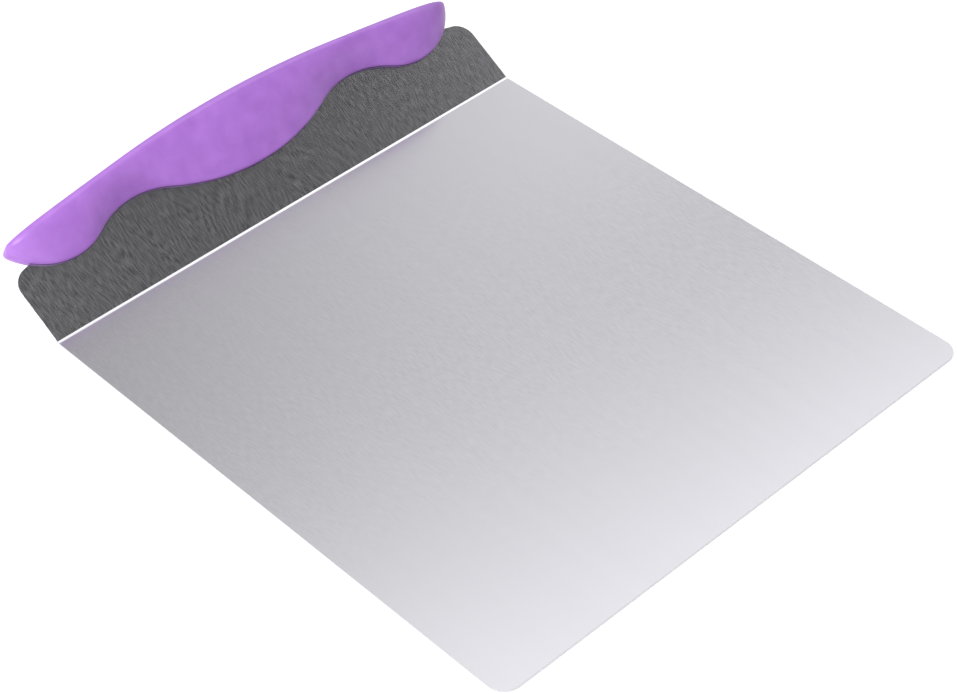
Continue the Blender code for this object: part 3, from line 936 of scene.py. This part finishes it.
def screws_tree(surface):
    tree, given, result = new_tree(
        "screws along the flange", Screw="Object", Recess_Reach="Float", Seat="Float"
    )
    value = given.outputs
    body = add(tree, "GeometryNodeObjectInfo", {"Object": value["Screw"]}).outputs["Geometry"]
    twice = {0: value["Recess Reach"], 1: 2.0}
    blade_length = add(tree, "ShaderNodeMath", twice, operation="MULTIPLY")
    recessed = body
    for turned in (0.0, math.pi / 2):
        sizes = {"X": blade_length, "Y": RECESS_WIDTH, "Z": 2 * RECESS_DEPTH}
        size = add(tree, "ShaderNodeCombineXYZ", sizes)
        blade = add(tree, "GeometryNodeMeshCube", {"Size": size})
        sunk = add(
            tree,
            "GeometryNodeTransform",
            {"Geometry": blade, "Translation": (0, 0, HEAD_HEIGHT), "Rotation": (0, 0, turned)},
        )
        cut = add(tree, "GeometryNodeMeshBoolean", {"Mesh 1": recessed}, solver="EXACT")
        tree.links.new(sunk.outputs[0], cut.inputs[1])
        recessed = cut
    to_seat = add(tree, "ShaderNodeCombineXYZ", {"Z": value["Seat"]})
    seated = add(
        tree,
        "GeometryNodeSetPosition",
        {"Geometry": value["Geometry"], "Offset": to_seat},
    )
    screws = add(
        tree,
        "GeometryNodeInstanceOnPoints",
        {"Points": seated, "Instance": recessed, "Rotation": (math.pi, 0, 0)},
    )
    tilted = add(
        tree,
        "GeometryNodeTransform",
        {
            "Geometry": screws,
            "Translation": flange_frame.translation,
            "Rotation": flange_frame.to_euler(),
        },
    )
    whole = add(tree, "GeometryNodeRealizeInstances", {"Geometry": tilted})
    coloured = add(tree, "GeometryNodeSetMaterial", {"Geometry": whole, "Material": surface})
    tree.links.new(coloured.outputs[0], result.inputs[0])
    return tree


body = screw_body()
run_tree(
    row_of_screws, screws_tree(zinc), Screw=body, Recess_Reach=RECESS_REACH, Seat=SEAT - GAP
)
screws = plain_mesh("grip_screws", row_of_screws, 35)
bpy.data.objects.remove(body)
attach(screws, "root")
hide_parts(*[f"handle_screw_{number}" for number in range(1, 6)])

# %% [markdown]
# ## The floor
#
# The lifter lies on matt white paper. The paper looks white to the camera and in reflections by
# its own faint glow, and otherwise it is a plain pale surface that takes the lifter's shadow.


# %% Floor
FLOOR_REACH = 8.0
FLOOR_DROP = 0.0002  # keeps the floor's face off the blade's underside


def pale_floor():
    bm = bmesh.new()
    side = FLOOR_REACH
    corners = [(-side, -side), (side, -side), (side, side), (-side, side)]
    bm.faces.new([bm.verts.new((x, y, -FLOOR_DROP)) for x, y in corners])
    thing = mesh_object("floor", bm)
    made = bpy.data.materials.new("matt white paper")
    made.use_nodes = True
    tree = made.node_tree
    shader = tree.nodes["Principled BSDF"]
    shader.inputs["Base Color"].default_value = linear("#dcdcdc")
    shader.inputs["Roughness"].default_value = 0.9
    rays = add(tree, "ShaderNodeLightPath").outputs
    seen = add(
        tree,
        "ShaderNodeMath",
        {0: rays["Is Camera Ray"], 1: rays["Is Glossy Ray"]},
        operation="MAXIMUM",
    )
    seen = add(
        tree,
        "ShaderNodeMath",
        {0: seen, 1: rays["Is Transmission Ray"]},
        operation="MAXIMUM",
    )
    glow = add(tree, "ShaderNodeMath", {0: seen, 1: 0.45}, operation="MULTIPLY")
    shader.inputs["Emission Color"].default_value = linear("#ffffff")
    tree.links.new(glow.outputs[0], shader.inputs["Emission Strength"])
    thing.data.materials.append(made)


pale_floor()
print(f"the floor is {2 * FLOOR_REACH:.0f} m wide, {1000 * FLOOR_DROP:.1f} mm under the blade")

# %% [markdown]
# ## The light
#
# A sheet of steel shows whatever is round it, so the studio matters as much as the steel. Its
# light is a dome whose level changes with the direction. The angle is counted from the horizon
# behind the handle, up over the top at 90 degrees, and down to the horizon in front of the blade.
# A soft box hangs over the top, and the sharp bend shows it as a white line. The dome behind it
# is what the blade shows, and it gets paler towards the top, so the blade gets paler towards its
# front edge. In front of the box the dome is dark, which is what the flange shows, and paler
# walls on the far left and right catch in its scratches. The levels are written down at six
# places from left to right, and mixed in between. One soft lamp on the left models the grip.

# %% Light
DEGREES = (0, 12, 17, 38, 45, 51, 58, 68, 90, 94, 140, 165)
FAR_LEFT = (0.8, 0.8, 0.8, 0.9, 0.9, 0.9, 0.9, 1.0, 1.0, 1.2, 1.0, 0.5)
LEFT = (0.5, 0.5, 0.2, 0.10, 0.30, 0.74, 1.88, 1.2, 1.2, 0.02, 0.02, 0.4)
MIDDLE = (0.9, 0.9, 0.4, 0.68, 0.80, 0.66, 1.42, 2.6, 2.6, 0.00, 0.00, 0.4)
RIGHT = (0.9, 0.9, 0.4, 1.56, 1.72, 0.44, 1.38, 2.4, 2.4, 0.05, 0.05, 0.5)
FAR_RIGHT = (0.6, 0.6, 0.4, 1.20, 1.20, 0.60, 0.50, 0.6, 0.6, 2.80, 2.80, 0.4)
END = (0.6, 0.6, 0.4, 1.20, 1.20, 0.60, 0.50, 0.6, 0.6, 0.36, 0.36, 0.4)
LEFT_HALF = ((0.0, FAR_LEFT), (0.25, LEFT), (0.5, MIDDLE))
COLUMNS = LEFT_HALF + ((0.62, RIGHT), (0.81, FAR_RIGHT), (0.94, END))


def studio_light(columns):
    world = bpy.data.worlds.new("studio")
    bpy.context.scene.world = world
    world.use_nodes = True
    tree = world.node_tree
    direction = add(tree, "ShaderNodeTexCoord").outputs["Generated"]
    toward = add(tree, "ShaderNodeSeparateXYZ", {"Vector": direction}).outputs
    over = add(tree, "ShaderNodeMath", {0: toward["Z"], 1: toward["Y"]}, operation="ARCTAN2")
    share = add(tree, "ShaderNodeMath", {0: over, 1: math.pi}, operation="DIVIDE")
    light = None
    for number, (x, levels) in enumerate(columns):
        ramp = add(tree, "ShaderNodeValToRGB", {"Fac": share})
        while len(ramp.color_ramp.elements) < len(DEGREES):
            ramp.color_ramp.elements.new(0.5)
        for element, degrees, level in zip(ramp.color_ramp.elements, DEGREES, levels):
            element.position = degrees / 180
            element.color = (level, level, level, 1)
        if light is None:
            light = ramp.outputs["Color"]
            continue
        beyond = add(
            tree,
            "ShaderNodeMapRange",
            {"Value": toward["X"], "From Min": columns[number - 1][0], "From Max": x},
        )
        light = add(
            tree,
            "ShaderNodeMix",
            {"Factor": beyond, "A": light, "B": ramp.outputs["Color"]},
            data_type="RGBA",
        ).outputs["Result"]
    tree.links.new(light, tree.nodes["Background"].inputs["Color"])


def soft_lamp(name, place, aim, size, watts):
    lamp = bpy.data.lights.new(name, "AREA")
    lamp.shape = "DISK"
    lamp.size = size
    lamp.energy = watts
    thing = bpy.data.objects.new(name, lamp)
    bpy.context.scene.collection.objects.link(thing)
    thing.location = place
    thing.rotation_euler = (Vector(aim) - Vector(place)).to_track_quat("-Z", "Y").to_euler()


studio_light(COLUMNS)
soft_lamp("left_lamp", (-0.48, -0.06, 0.42), (0, 0.12, 0.02), 0.4, 3.2)
print(f"the dome has {len(COLUMNS)} columns of {len(DEGREES)} levels, and there is one lamp")

# %% [markdown]
# ## The camera
#
# The picture was taken from the left front, from about a metre away and rather high. The lens is
# long, so the far edge is only a little shorter than the near one.


# %% Camera
def picture_camera():
    data = bpy.data.cameras.new("camera")
    data.sensor_fit = "HORIZONTAL"
    data.sensor_width = 36.0
    data.lens = 94.349
    camera = bpy.data.objects.new("camera", data)
    bpy.context.scene.collection.objects.link(camera)
    camera.location = bend_frame @ Vector((-0.506511, -0.683710, 0.683394))
    camera.rotation_euler = [math.radians(angle) for angle in (47.62459, 1.78334, -43.32346)]
    bpy.context.scene.camera = camera


picture_camera()
bpy.context.scene.view_settings.view_transform = "Standard"
away = (bpy.context.scene.camera.location - bend_frame.translation).length
print(f"the camera stands {away:.2f} m from the bend's middle")
